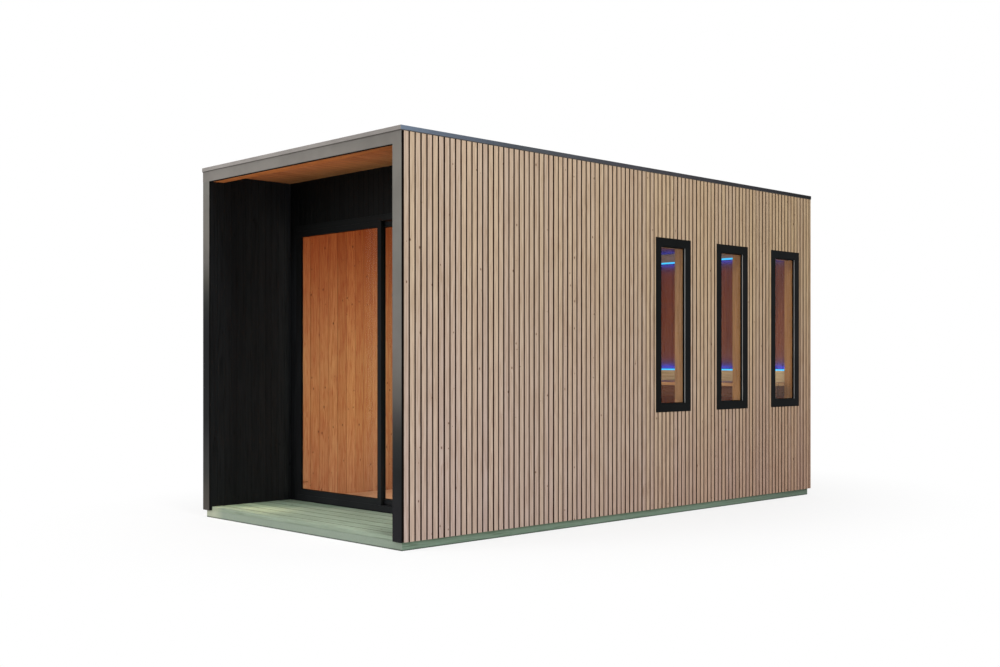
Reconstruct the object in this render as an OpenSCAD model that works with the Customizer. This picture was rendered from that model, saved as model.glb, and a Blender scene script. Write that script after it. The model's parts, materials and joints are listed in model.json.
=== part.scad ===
// Garden sauna cabin with a recessed front porch, a sliding glass door,
// vertical batten cladding and three tall windows in the right-hand wall.
// Millimetres, +Z up, the front looks towards -Y.
// The origin lies at ground level, in the middle of the cabin's outline.

/* [Cabin] */
// Width over the roof edge trim
cabin_w = 2240; // [1800:10:3000]
// Length over the roof edge trim
cabin_l = 4426; // [3900:2:5600]
// Height to the top of the roof edge trim
cabin_h = 2497; // [2300:1:2900]
// Depth of the porch, from the portal face to the boards beside the door
porch_depth = 692; // [500:2:760]

/* [Base, deck and floor] */
// Height of the base frame
base_h = 52; // [40:1:90]
// Width of the base frame's perimeter bearers
bearer_w = 120; // [115:5:160]
// Width of the inner joists
joist_w = 45; // [30:1:70]
// Number of inner joists, which run from front to rear
joist_count = 4; // [3:1:7]
// Thickness of the deck boards
deck_t = 26; // [18:1:34]
// Width of one deck board
deck_board_w = 115.5; // [90:0.5:140]
// Width of the ripped deck board along the front edge
deck_front_w = 86.5; // [60:0.5:140]
// Gap between deck boards and at their ends
deck_gap = 5; // [2:1:8]
// Thickness of the room's floor
floor_t = 31; // [27:1:45]

/* [Walls] */
// Width of one cladding batten
batten_w = 36.5; // [22:0.5:60]
// Gap that the battens are laid out with
batten_gap = 9; // [6:0.5:20]
// Thickness of one cladding batten
batten_t = 21; // [15:1:28]
// Bevel along a batten's two outer edges
batten_bevel = 1.5; // [0.5:0.5:3]
// Thickness of the insulated room walls
wall_t = 70; // [60:1:120]
// Thickness of the porch side walls
porch_wall_t = 49; // [40:1:60]
// Thickness of the dark boards that line the porch
board_t = 15; // [10:1:22]
// Thickness of the room's wall lining
lining_t = 14; // [10:1:28]

/* [Roof] */
// Thickness of the roof deck
roof_deck_t = 23; // [18:1:40]
// Thickness of the roof membrane
membrane_t = 6; // [4:1:10]
// Height of the roof edge trim
trim_h = 26; // [24:1:55]
// How far the trim stands out in front of the portal's face
trim_lap_front = 6; // [3:1:12]
// How far the trim stands out from the battens at the sides and the rear
trim_lap_side = 2; // [2:1:8]
// Sheet thickness of the roof edge trim
trim_t = 2; // [1:0.5:3]
// Width of the trim's flange on top of the roof
trim_flange = 60; // [30:5:100]
// Thickness of the porch soffit boards
soffit_t = 20; // [15:1:30]
// Thickness of the insulated ceiling over the room
ceiling_t = 111; // [80:1:160]
// Thickness of the ceiling lining
ceiling_lining_t = 15; // [10:1:22]

/* [Portal] */
// Width of the portal posts, seen from the front
post_w = 85; // [75:1:120]
// Height of the fascia over the porch
fascia_h = 71; // [60:1:120]
// Depth of the posts and the fascia
portal_d = 10; // [8:1:20]
// Radius of the posts' vertical edges
post_edge_r = 2.5; // [1:0.5:4]
// Depth of the timber beam behind the fascia
beam_d = 106; // [80:1:150]

/* [Windows] */
// Width of a window frame
window_w = 406; // [300:1:470]
// Height of a window frame
window_h = 1261; // [1000:1:1400]
// Height of the window frames' lower edge over the ground
window_z = 747; // [650:1:850]
// Distance from the rear battens' face to the middle of the last window
window_rear = 384; // [374:2:700]
// Distance between two windows' middles
window_pitch = 734; // [560:1:860]
// Number of windows
window_count = 3; // [1:1:3]
// Width of a frame's face
window_face = 60; // [40:1:70]
// How far the glass stands out from the wall panel's face
window_lap = 6; // [4:1:9]
// Width of the glazing bead that stands in from the frame
bead_w = 4; // [2:1:8]
// Thickness of the window glass
window_glass_t = 14; // [10:1:19]
// Thickness of the boards that line a window's reveal
reveal_t = 18; // [8:1:24]
// Clearance between a window frame and the cut battens
window_fit = 2; // [1:0.5:4]

/* [Sliding door] */
// Width of the front wall that is left at each side of the door frame
door_pier_w = 65; // [30:1:150]
// Distance from the roof deck down to the door frame
door_head_drop = 345; // [200:1:420]
// Distance from the porch boards' face back to the door frame's face
door_setback = 2; // [0:1:10]
// Face height of the outer door frame's head and sill
door_frame_face = 40; // [30:1:60]
// Face width of the outer door frame's jambs
door_jamb_face = 15; // [12:1:50]
// Depth of the left jamb, which a timber reveal board follows
door_jamb_d = 28; // [26:1:40]
// Depth of the outer door frame
door_frame_d = 80; // [80:1:100]
// Face width of the glazed leaves' stiles and rails
leaf_face = 40; // [34:1:60]
// Distance from the door frame's face back to the fixed leaf
leaf_setback = 2; // [1:0.5:3]
// Thickness of the fixed leaf
leaf_t = 22; // [18:1:24]
// Thickness of the sliding leaf
sash_t = 36; // [28:1:38]
// Clearance round the sliding leaf
sash_gap = 6; // [5:0.5:8]
// Distance from the cabin's middle to the fixed leaf's meeting stile
meeting_x = 9; // [0:1:60]
// Overlap of the two meeting stiles
meeting_lap = 14; // [5:1:34]
// Thickness of the door glass
door_glass_t = 14; // [8:1:16]
// Height of the track rib on the sill of the frame
rib_h = 5; // [3:0.5:5]
// Width of the track rib
rib_w = 6; // [4:1:8]
// Diameter of the rollers in the sliding leaf
roller_d = 24; // [18:1:26]
// Width of the rollers
roller_w = 8; // [6:1:10]
// Distance from the sliding leaf's ends to the rollers' axles
roller_inset = 120; // [80:5:200]
// Running clearance between the rollers and the track rib
roller_fit = 0.3; // [0.2:0.1:0.5]
// Length of the two pull handles
handle_l = 300; // [160:10:500]
// Height of the handles' middle over the ground
handle_z = 1080; // [900:10:1200]
// Diameter of the handle bars
handle_d = 10; // [8:1:11]
// Distance from the sliding leaf's face to the middle of a handle bar
handle_reach = 40; // [30:1:44]

/* [Rear bench and lights] */
// Height of the bench's seat over the ground
bench_z = 940; // [850:5:1000]
// Depth of the bench
bench_d = 620; // [480:10:760]
// Width of one bench slat
bench_slat_w = 90; // [60:1:120]
// Gap between bench slats
bench_slat_gap = 10; // [6:1:16]
// Thickness of the bench slats
bench_slat_t = 28; // [20:1:40]
// Height of the bench's bearers
bench_bearer_h = 90; // [60:5:120]
// Thickness of the bench's bearers
bench_bearer_t = 45; // [30:1:60]
// Number of cross bearers under the bench
bench_cross_count = 5; // [4:1:8]
// Height of the lower light rail
lower_rail_h = 95; // [60:5:120]
// Distance from the ceiling down to the top of the upper light rail
upper_rail_drop = 249; // [120:1:320]
// Height of the upper light rail
upper_rail_h = 74; // [50:2:90]
// Thickness of the light rails
rail_t = 25; // [18:1:40]
// Height of one light strip
strip_h = 12; // [8:1:16]
// Depth of one light strip
strip_d = 12; // [8:1:16]

/* [Hidden] */
$fn = 48;
eps = 1;
side_x = cabin_w / 2 - trim_lap_side;
front_y = -cabin_l / 2 + trim_lap_front;
rear_y = cabin_l / 2 - trim_lap_side;

// Levels, from the ground up
deck_top = base_h + deck_t;
floor_top = base_h + floor_t;
roof_z = cabin_h - trim_t - membrane_t - roof_deck_t;
soffit_z = roof_z - soffit_t;
ceiling_z = roof_z - ceiling_t;
fascia_z = roof_z - fascia_h;
ceiling_face_z = ceiling_z - ceiling_lining_t;
door_z = floor_top;
door_top = roof_z - door_head_drop;

// Planes of the long walls, from the outside in
base_x = side_x - batten_t;
wall_in_x = base_x - wall_t;
room_x = wall_in_x - lining_t;
porch_wall_in_x = base_x - porch_wall_t;
porch_x = porch_wall_in_x - board_t;

// Planes across the cabin, from the front to the rear
base_front_y = front_y + batten_t;
base_rear_y = rear_y - batten_t;
portal_back_y = front_y + portal_d;
beam_back_y = portal_back_y + beam_d;
porch_back_y = front_y + porch_depth;
front_wall_y = porch_back_y + board_t;
front_wall_in_y = front_wall_y + wall_t;
room_front_y = front_wall_in_y + lining_t;
rear_wall_y = base_rear_y - wall_t;
room_rear_y = rear_wall_y - lining_t;

// Roof edge trim: its outer faces, and the inner faces of its upright leg
trim_x = cabin_w / 2;
trim_front_y = -cabin_l / 2;
trim_rear_y = cabin_l / 2;
trim_in_x = trim_x - trim_t;
trim_in_front_y = trim_front_y + trim_t;
trim_in_rear_y = trim_rear_y - trim_t;

// Cladding
side_run = base_rear_y - portal_back_y - batten_gap;
side_count = round(side_run / (batten_w + batten_gap));
side_pitch = side_run / side_count;
rear_run = 2 * side_x - batten_w;
rear_gap_count = round(rear_run / (batten_w + batten_gap));
rear_pitch = rear_run / rear_gap_count;

// Windows
window_ys = [for (i = [1 : window_count])
    rear_y - window_rear - (window_count - i) * window_pitch];
bead_y = window_face + bead_w;
glass_x = base_x + window_lap;
glass_in_x = glass_x - window_glass_t;

// Sliding door
door_x = wall_in_x - door_pier_w;
door_y = porch_back_y + door_setback;
door_inner_x = door_x - door_jamb_face;
leaf_z = door_z + door_frame_face;
leaf_top = door_top - door_frame_face;
leaf_y = door_y + leaf_setback;
glass_z = leaf_z + leaf_face;
glass_top = leaf_top - leaf_face;
sash_y = leaf_y + leaf_t + sash_gap;
sash_mid_y = sash_y + sash_t / 2;
sash_left = meeting_x + meeting_lap - leaf_face;
sash_right = door_inner_x - sash_gap;
sash_z = leaf_z + sash_gap;
sash_top = leaf_top - sash_gap;
handle_x = sash_right - leaf_face / 2;
handle_foot_gap = handle_l - 2 * handle_d;

// Bench and light rails
bench_front_y = room_rear_y - bench_d;
rail_front_y = room_rear_y - rail_t;
lower_strip_z = bench_z + lower_rail_h;
upper_rail_top = ceiling_face_z - upper_rail_drop;
top_strip_z = upper_rail_top - strip_h;
upper_rail_z = upper_rail_top - upper_rail_h;
upper_strip_z = upper_rail_z - strip_h;
bearer_z = bench_z - bench_slat_t - bench_bearer_h;

// Colours
c_metal = "#807c77";
c_dark_frame = "#1d2020";
c_green = "#8b9c80";
c_batten = "#c2a98c";
c_board = "#17171a";
c_panel = "#2a2522";
c_pine = "#b9743f";
c_glass = "#9fb4b2";
c_light = "#35b6ff";
c_membrane = "#3a3c3e";

// A block given by its two opposite corners
module block(low, high) {
    translate(low) cube(high - low);
}

// A rectangular hole through a wall that faces +X, cut from x_low to x_high
module window_hole(y, x_low, x_high, margin) {
    block([x_low, y - window_w / 2 - margin, window_z - margin],
          [x_high, y + window_w / 2 + margin, window_z + window_h + margin]);
}

// The outline in X and Z of a glazed leaf: a ring of stiles and rails
module leaf_ring(x_low, x_high, z_low, z_high, y, t) {
    difference() {
        block([x_low, y, z_low], [x_high, y + t, z_high]);
        block([x_low + leaf_face, y - eps, glass_z],
              [x_high - leaf_face, y + t + eps, glass_top]);
    }
}

// ---- Base, deck and floor ----

module base_frame() {
    inner_w = 2 * (base_x - bearer_w);
    joist_step = (inner_w + joist_w) / (joist_count + 1);
    color(c_green) {
        difference() {
            block([-base_x, base_front_y, 0], [base_x, base_rear_y, base_h]);
            block([-base_x + bearer_w, base_front_y + bearer_w, -eps],
                  [base_x - bearer_w, base_rear_y - bearer_w, base_h + eps]);
        }
        for (i = [1 : joist_count])
            translate([-inner_w / 2 - joist_w + i * joist_step, base_front_y + bearer_w, 0])
                cube([joist_w, base_rear_y - base_front_y - 2 * bearer_w, base_h]);
    }
}

// A ripped board along the front edge, then full ones; the last is cut at the door
module deck_boards() {
    step = deck_board_w + deck_gap;
    first_y = base_front_y + deck_front_w + deck_gap - step;
    count = ceil((porch_back_y - first_y) / step);
    color(c_green)
        for (i = [0 : count - 1]) {
            front = max(base_front_y, first_y + i * step);
            back = min(porch_back_y, first_y + i * step + deck_board_w);
            if (back - front > 3 * deck_gap)
                block([-porch_x + deck_gap, front, base_h], [porch_x - deck_gap, back, deck_top]);
        }
}

// The floor of the room, with the tongue that runs out through the doorway
module room_floor() {
    color(c_pine) {
        block([-wall_in_x, front_wall_in_y, base_h], [wall_in_x, rear_wall_y, floor_top]);
        block([-door_x, front_wall_y, base_h], [door_x, front_wall_in_y, floor_top]);
    }
}

// ---- Portal ----

// Section of a post, with its four vertical edges rounded
module post_section() {
    r = post_edge_r;
    translate([r, 0]) square([post_w - 2 * r, portal_d]);
    translate([0, r]) square([post_w, portal_d - 2 * r]);
    for (x = [r, post_w - r], y = [r, portal_d - r])
        translate([x, y]) circle(r);
}

module portal_post() {
    color(c_metal)
        translate([side_x - post_w, front_y, base_h])
            linear_extrude(fascia_z - base_h) post_section();
}

module portal_fascia() {
    color(c_metal)
        block([-side_x, front_y, fascia_z], [side_x, portal_back_y, roof_z]);
}

module front_beam() {
    color(c_pine)
        block([-porch_x, portal_back_y, fascia_z], [porch_x, beam_back_y, roof_z]);
}

// ---- Porch ----

module porch_wall() {
    color(c_panel)
        block([porch_wall_in_x, portal_back_y, base_h], [base_x, front_wall_y, roof_z]);
}

// Dark boards on both sides of the porch and round the door
module porch_lining() {
    color(c_board) {
        difference() {
            block([-porch_wall_in_x, porch_back_y, base_h],
                  [porch_wall_in_x, front_wall_y, roof_z]);
            block([-door_x, porch_back_y - eps, base_h - eps],
                  [door_x, front_wall_y + eps, door_top]);
        }
        for (side = [-1, 1])
            translate([side * (porch_x + board_t / 2) - board_t / 2, portal_back_y, base_h])
                cube([board_t, porch_back_y - portal_back_y, roof_z - base_h]);
    }
}

module porch_soffit() {
    color(c_pine)
        block([-porch_x, beam_back_y, soffit_z], [porch_x, porch_back_y, roof_z]);
}

// ---- Walls ----

module front_wall_pier() {
    color(c_panel)
        block([door_x, front_wall_y, base_h], [wall_in_x, front_wall_in_y, roof_z]);
}

module front_wall_header() {
    color(c_panel)
        block([-door_x, front_wall_y, door_top], [door_x, front_wall_in_y, roof_z]);
}

module long_wall() {
    color(c_panel)
        block([wall_in_x, front_wall_y, base_h], [base_x, base_rear_y, roof_z]);
}

module wall_right() {
    color(c_panel)
        difference() {
            long_wall();
            for (y = window_ys)
                window_hole(y, wall_in_x - eps, base_x + eps, reveal_t - window_face);
        }
}

module wall_rear() {
    color(c_panel)
        block([-wall_in_x, rear_wall_y, base_h], [wall_in_x, base_rear_y, roof_z]);
}

// ---- Room lining ----

module long_lining() {
    color(c_pine)
        block([room_x, front_wall_in_y, floor_top], [wall_in_x, room_rear_y, ceiling_z]);
}

// The right lining, with a boarded reveal flush with each window frame's inner edge
module lining_right() {
    color(c_pine)
        difference() {
            union() {
                long_lining();
                for (y = window_ys) window_hole(y, room_x, base_x, reveal_t - window_face);
            }
            for (y = window_ys) window_hole(y, room_x - eps, base_x + eps, -window_face);
        }
}

module lining_rear() {
    color(c_pine)
        block([-wall_in_x, room_rear_y, floor_top], [wall_in_x, rear_wall_y, ceiling_z]);
}

// The front lining, with the reveal board that follows the door frame's left jamb
module lining_front() {
    color(c_pine) {
        difference() {
            block([-room_x, front_wall_in_y, floor_top], [room_x, room_front_y, ceiling_z]);
            block([-door_x, front_wall_in_y - eps, floor_top - eps],
                  [door_x, room_front_y + eps, door_top]);
        }
        block([-door_x, door_y + door_jamb_d, leaf_z], [-door_inner_x, room_front_y, leaf_top]);
    }
}

module ceiling_panel() {
    color(c_panel)
        block([-wall_in_x, front_wall_in_y, ceiling_z], [wall_in_x, rear_wall_y, roof_z]);
}

module ceiling_lining() {
    color(c_pine)
        block([-room_x, room_front_y, ceiling_face_z],
              [room_x, room_rear_y, ceiling_z]);
}

// ---- Roof ----

module roof_deck() {
    color(c_panel)
        block([-trim_in_x, trim_in_front_y, roof_z],
              [trim_in_x, trim_in_rear_y, roof_z + roof_deck_t]);
}

module roof_membrane() {
    color(c_membrane)
        block([-trim_in_x, trim_in_front_y, roof_z + roof_deck_t],
              [trim_in_x, trim_in_rear_y, cabin_h - trim_t]);
}

// Folded sheet angle round all four edges of the roof
module roof_trim() {
    color(c_metal)
        difference() {
            block([-trim_x, trim_front_y, cabin_h - trim_h], [trim_x, trim_rear_y, cabin_h]);
            block([-trim_in_x, trim_in_front_y, cabin_h - trim_h - eps],
                  [trim_in_x, trim_in_rear_y, cabin_h - trim_t]);
            block([-trim_x + trim_flange, trim_front_y + trim_flange, cabin_h - trim_h - eps],
                  [trim_x - trim_flange, trim_rear_y - trim_flange, cabin_h + eps]);
        }
}

// ---- Cladding ----

// One upright batten, its back on the line y = 0 and its bevelled face at y = batten_t
module batten() {
    b = batten_bevel;
    linear_extrude(roof_z - base_h)
        polygon([[0, 0], [batten_w, 0], [batten_w, batten_t - b],
                 [batten_w - b, batten_t], [b, batten_t], [0, batten_t - b]]);
}

// Battens of the right-hand wall, from the portal to the rear corner
module side_battens() {
    for (i = [0 : side_count - 1])
        translate([base_x, portal_back_y + batten_gap + i * side_pitch + batten_w, base_h])
            rotate([0, 0, -90]) batten();
}

module cladding_left() {
    color(c_batten) mirror([1, 0, 0]) side_battens();
}

module cladding_right() {
    color(c_batten)
        difference() {
            side_battens();
            for (y = window_ys) window_hole(y, base_x - eps, side_x + eps, window_fit);
        }
}

module cladding_rear() {
    color(c_batten)
        for (i = [0 : rear_gap_count])
            translate([-side_x + i * rear_pitch, base_rear_y, base_h]) batten();
}

// ---- Windows ----

// A face ring on the wall panel, and the glazing bead that holds the glass in it
module window_frame(i) {
    y = window_ys[i];
    color(c_dark_frame)
        difference() {
            union() {
                window_hole(y, base_x, side_x, 0);
                window_hole(y, glass_in_x, base_x, -window_face);
            }
            window_hole(y, glass_x, side_x + eps, -window_face);
            window_hole(y, glass_in_x - eps, glass_x + eps, -bead_y);
        }
}

module window_glass(i) {
    color(c_glass, 0.5) window_hole(window_ys[i], glass_in_x, glass_x, -bead_y);
}

// ---- Sliding door ----

// The outer frame: its left jamb is only as deep as the fixed leaf in it
module door_frame() {
    back_y = door_y + door_frame_d;
    color(c_dark_frame) {
        difference() {
            block([-door_x, door_y, door_z], [door_x, back_y, door_top]);
            block([-door_inner_x, door_y - eps, leaf_z], [door_inner_x, back_y + eps, leaf_top]);
            block([-door_x - eps, door_y + door_jamb_d, leaf_z],
                  [-door_inner_x + eps, back_y + eps, leaf_top]);
        }
        block([-door_inner_x, sash_mid_y - rib_w / 2, leaf_z],
              [door_inner_x, sash_mid_y + rib_w / 2, leaf_z + rib_h]);
    }
}

module door_fixed_leaf() {
    color(c_dark_frame)
        leaf_ring(-door_inner_x, meeting_x + leaf_face, leaf_z, leaf_top, leaf_y, leaf_t);
}

module door_fixed_glass() {
    y = leaf_y + (leaf_t - door_glass_t) / 2;
    color(c_glass, 0.5)
        block([-door_inner_x + leaf_face, y, glass_z], [meeting_x, y + door_glass_t, glass_top]);
}

// One roller on its axle, set in a slot in the sliding leaf's bottom rail
module roller(x) {
    translate([x, sash_mid_y, leaf_z + rib_h + roller_fit + roller_d / 2])
        rotate([90, 0, 0]) {
            cylinder(d = roller_d, h = roller_w, center = true);
            cylinder(d = roller_d / 4, h = sash_t - 2 * rib_w, center = true);
        }
}

module roller_slot(x) {
    l = roller_d + rib_w;
    w = roller_w + rib_w / 2;
    block([x - l / 2, sash_mid_y - w / 2, sash_z - eps],
          [x + l / 2, sash_mid_y + w / 2, sash_z + roller_d + rib_w / 2]);
}

module door_sash() {
    roller_xs = [sash_left + roller_inset, sash_right - roller_inset];
    color(c_dark_frame) {
        difference() {
            leaf_ring(sash_left, sash_right, sash_z, sash_top, sash_y, sash_t);
            for (x = roller_xs) roller_slot(x);
        }
        for (x = roller_xs) roller(x);
    }
}

module door_sash_glass() {
    y = sash_mid_y - door_glass_t / 2;
    color(c_glass, 0.5)
        block([sash_left + leaf_face, y, glass_z],
              [sash_right - leaf_face, y + door_glass_t, glass_top]);
}

// A bar on two feet, standing off the leaf's face in the direction of +Y
module pull_handle() {
    translate([0, handle_reach, -handle_l / 2]) cylinder(d = handle_d, h = handle_l);
    for (z = [-handle_foot_gap / 2, handle_foot_gap / 2])
        translate([0, 0, z]) rotate([-90, 0, 0]) cylinder(d = handle_d * 0.8, h = handle_reach);
}

module door_handles() {
    color(c_metal) {
        translate([handle_x, sash_y, handle_z]) mirror([0, 1, 0]) pull_handle();
        translate([handle_x, sash_y + sash_t, handle_z]) pull_handle();
    }
}

// ---- Rear bench and lights ----

module bench_top() {
    step = bench_slat_w + bench_slat_gap;
    depth = rail_front_y - bench_front_y;
    color(c_pine)
        for (i = [0 : floor((depth + bench_slat_gap) / step) - 1])
            block([-room_x, bench_front_y + i * step, bench_z - bench_slat_t],
                  [room_x, bench_front_y + i * step + bench_slat_w, bench_z]);
}

module bench_frame() {
    t = bench_bearer_t;
    cross_step = (2 * room_x - t) / (bench_cross_count - 1);
    color(c_pine) {
        for (y = [bench_front_y, room_rear_y - t])
            block([-room_x, y, bearer_z], [room_x, y + t, bearer_z + bench_bearer_h]);
        for (i = [0 : bench_cross_count - 1])
            translate([-room_x + i * cross_step, bench_front_y + t, bearer_z])
                cube([t, bench_d - 2 * t, bench_bearer_h]);
    }
}

// The lower rail, and the upper one with a rebate for the strip behind its top edge
module light_rails() {
    color(c_pine) {
        block([-room_x, rail_front_y, bench_z], [room_x, room_rear_y, lower_strip_z]);
        difference() {
            block([-room_x, rail_front_y, upper_rail_z], [room_x, room_rear_y, upper_rail_top]);
            block([-room_x - eps, room_rear_y - strip_d, top_strip_z],
                  [room_x + eps, room_rear_y + eps, upper_rail_top + eps]);
        }
    }
}

module light_strips() {
    color(c_light)
        for (z = [lower_strip_z, upper_strip_z, top_strip_z])
            block([-room_x, room_rear_y - strip_d, z], [room_x, room_rear_y, z + strip_h]);
}

base_frame();
deck_boards();
room_floor();
mirror([1, 0, 0]) portal_post();  // portal_post_left
portal_post();  // portal_post_right
portal_fascia();
front_beam();
mirror([1, 0, 0]) porch_wall();  // porch_wall_left
porch_wall();  // porch_wall_right
porch_lining();
porch_soffit();
mirror([1, 0, 0]) front_wall_pier();  // front_wall_left
front_wall_pier();  // front_wall_right
front_wall_header();
mirror([1, 0, 0]) long_wall();  // wall_left
wall_right();
wall_rear();
mirror([1, 0, 0]) long_lining();  // lining_left
lining_right();
lining_rear();
lining_front();
ceiling_panel();
ceiling_lining();
roof_deck();
roof_membrane();
roof_trim();
cladding_left();
cladding_right();
cladding_rear();
for (i = [0 : window_count - 1]) {
    window_frame(i);
    window_glass(i);
}
door_frame();
door_fixed_leaf();
door_fixed_glass();
door_sash();
door_sash_glass();
door_handles();
bench_top();
bench_frame();
light_rails();
light_strips();
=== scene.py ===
"""The finish of the sauna cabin: its boards, battens, metal, glass and lights.

Every length is in metres. X runs to the windowed wall, Y from the porch to the
rear wall and Z up; places come from the frame's own boxes.
"""
import json
import math

import bpy
import numpy as np
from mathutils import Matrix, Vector


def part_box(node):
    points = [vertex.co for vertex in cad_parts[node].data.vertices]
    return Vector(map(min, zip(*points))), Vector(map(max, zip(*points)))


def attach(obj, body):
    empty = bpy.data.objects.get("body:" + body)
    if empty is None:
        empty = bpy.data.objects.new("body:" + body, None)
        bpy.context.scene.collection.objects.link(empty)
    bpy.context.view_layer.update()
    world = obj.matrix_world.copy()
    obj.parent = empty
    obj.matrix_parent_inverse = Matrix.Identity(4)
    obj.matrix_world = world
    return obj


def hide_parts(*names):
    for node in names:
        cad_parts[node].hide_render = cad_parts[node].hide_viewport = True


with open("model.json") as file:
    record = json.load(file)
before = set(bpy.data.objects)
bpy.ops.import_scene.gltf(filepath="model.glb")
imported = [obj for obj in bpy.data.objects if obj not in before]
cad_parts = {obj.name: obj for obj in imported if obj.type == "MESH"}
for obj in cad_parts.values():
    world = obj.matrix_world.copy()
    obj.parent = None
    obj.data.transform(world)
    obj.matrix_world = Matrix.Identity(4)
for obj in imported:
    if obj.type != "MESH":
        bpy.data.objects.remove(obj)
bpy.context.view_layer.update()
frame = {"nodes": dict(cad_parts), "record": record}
rng = np.random.default_rng(20)

AXES = np.eye(3)
X, Y, Z = 0, 1, 2
REARWARDS, UPWARDS, DOWNWARDS = (0, 1, 0), (0, 0, 1), (0, 0, -1)
CABIN = "cabin"
DOOR = "sliding_door"
WINDOWS = ["window_frame_1", "window_frame_2", "window_frame_3"]
PANES = ["window_glass_1", "window_glass_2", "window_glass_3"]


# ---------------------------------------------------------------- places

def span(name):
    """Lowest and highest corner of a CAD node, as arrays."""
    low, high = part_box(name)
    return np.array(low, float), np.array(high, float)


def reach(name, axis):
    """Lowest and highest place of a CAD node along one axis."""
    low, high = span(name)
    return low[axis], high[axis]


def block(x, y, z):
    """Lowest and highest corner of a block, from its two places along each axis."""
    return np.array([x, y, z], float).T


# The two light rails of the rear wall: their heights, and the side of a light strip.
LOWER_RAIL, UPPER_RAIL, STRIP = 0.095, 0.074, 0.012
rail_low, rail_high = span("light_rails")
lower_top = rail_low[Z] + LOWER_RAIL
upper_low = rail_high[Z] - UPPER_RAIL


# ---------------------------------------------------------------- meshes

def new_object(name, data):
    """An object of its own in the scene, at the origin."""
    made = bpy.data.objects.new(name, data)
    bpy.context.scene.collection.objects.link(made)
    return made


def mesh_piece(name, shape, material, body=CABIN, replaces=()):
    """One flat-faced object from a shape: points (n, 3), faces as a list of equal-sided
    index arrays, and a dict of values per point, one number or one vector each."""
    points, faces, values = shape
    mesh = bpy.data.meshes.new(name)
    corners = np.concatenate([f.ravel() for f in faces]).astype(np.int32)
    sizes = np.concatenate([np.full(len(f), f.shape[1]) for f in faces]).astype(np.int32)
    starts = np.concatenate([[0], np.cumsum(sizes)[:-1]]).astype(np.int32)
    mesh.vertices.add(len(points))
    mesh.vertices.foreach_set("co", np.asarray(points, np.float32).ravel())
    mesh.loops.add(len(corners))
    mesh.loops.foreach_set("vertex_index", corners)
    mesh.polygons.add(len(sizes))
    mesh.polygons.foreach_set("loop_start", starts)
    mesh.polygons.foreach_set("use_smooth", np.zeros(len(sizes), bool))
    for key, value in values.items():
        kind, field = ("FLOAT", "value") if value.ndim == 1 else ("FLOAT_VECTOR", "vector")
        attribute = mesh.attributes.new(key, kind, "POINT")
        attribute.data.foreach_set(field, np.asarray(value, np.float32).ravel())
    mesh.update(calc_edges=True)
    mesh.materials.append(material)
    piece = new_object(name, mesh)
    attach(piece, body)
    if replaces:
        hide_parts(*replaces)


def outward(points, faces):
    """The faces of a closed shape, turned to face outwards.

    The signed volume is the sum over triangles of a . (b x c) / 6; below nought, all turn."""
    volume = 0.0
    for f in faces:
        a = points[f[:, 0]]
        for k in range(1, f.shape[1] - 1):
            volume += np.einsum("ij,ij->", a, np.cross(points[f[:, k]], points[f[:, k + 1]]))
    return faces if volume > 0 else [f[:, ::-1] for f in faces]


def joined(*shapes):
    """Several shapes as one."""
    offset, faces = 0, {}
    for points, shape_faces, _ in shapes:
        for f in shape_faces:
            faces.setdefault(f.shape[1], []).append(f + offset)
        offset += len(points)
    keys = shapes[0][2].keys()
    return (np.concatenate([s[0] for s in shapes]),
            [np.concatenate(f) for f in faces.values()],
            {k: np.concatenate([s[2][k] for s in shapes]) for k in keys})


def eased(widths, thick, radius, steps):
    """Outlines of boards: a square back on v = 0, and a quarter circle on both front edges,
    with one radius r for all boards or one for each. steps is its number of points.

    Along the right edge u = width - r + r cos(turn) and v = thickness - r + r sin(turn);
    the left edge mirrors it. With two points the edge is a plain bevel."""
    w = np.asarray(widths, float)[:, None]
    turn = np.linspace(0, np.pi / 2, steps)
    radius = np.broadcast_to(radius, len(w))[:, None]
    inwards, up = radius - radius * np.cos(turn), thick - radius + radius * np.sin(turn)
    u = np.concatenate([0 * w, w, w - inwards, inwards[:, ::-1]], 1)
    v = np.concatenate([0 * w, 0 * w, up, up[:, ::-1]], 1)
    return np.stack([u, v], -1)


def rounded(widths, thick, radius):
    """Outlines of planks whose four edges are quarter circles of one radius r, with four
    points each.

    Each edge is u = centre + r cos(angle) and v = centre + r sin(angle), about a centre that
    lies r in from both sides."""
    w = np.asarray(widths, float)[:, None]
    turn = np.linspace(0, np.pi / 2, 4)
    u, v = [], []
    for k, (right, top) in enumerate([(1, 1), (0, 1), (0, 0), (1, 0)]):
        angle = turn + k * np.pi / 2
        u.append(right * (w - 2 * radius) + radius + radius * np.cos(angle))
        v.append(top * (thick - 2 * radius) + radius + radius * np.sin(angle) + 0 * w)
    return np.stack([np.concatenate(u, 1), np.concatenate(v, 1)], -1)


# A bar's grain is moved across and along by these lengths times its tone.
GRAIN_ACROSS, GRAIN_ALONG = 11.0, 5.0


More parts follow.
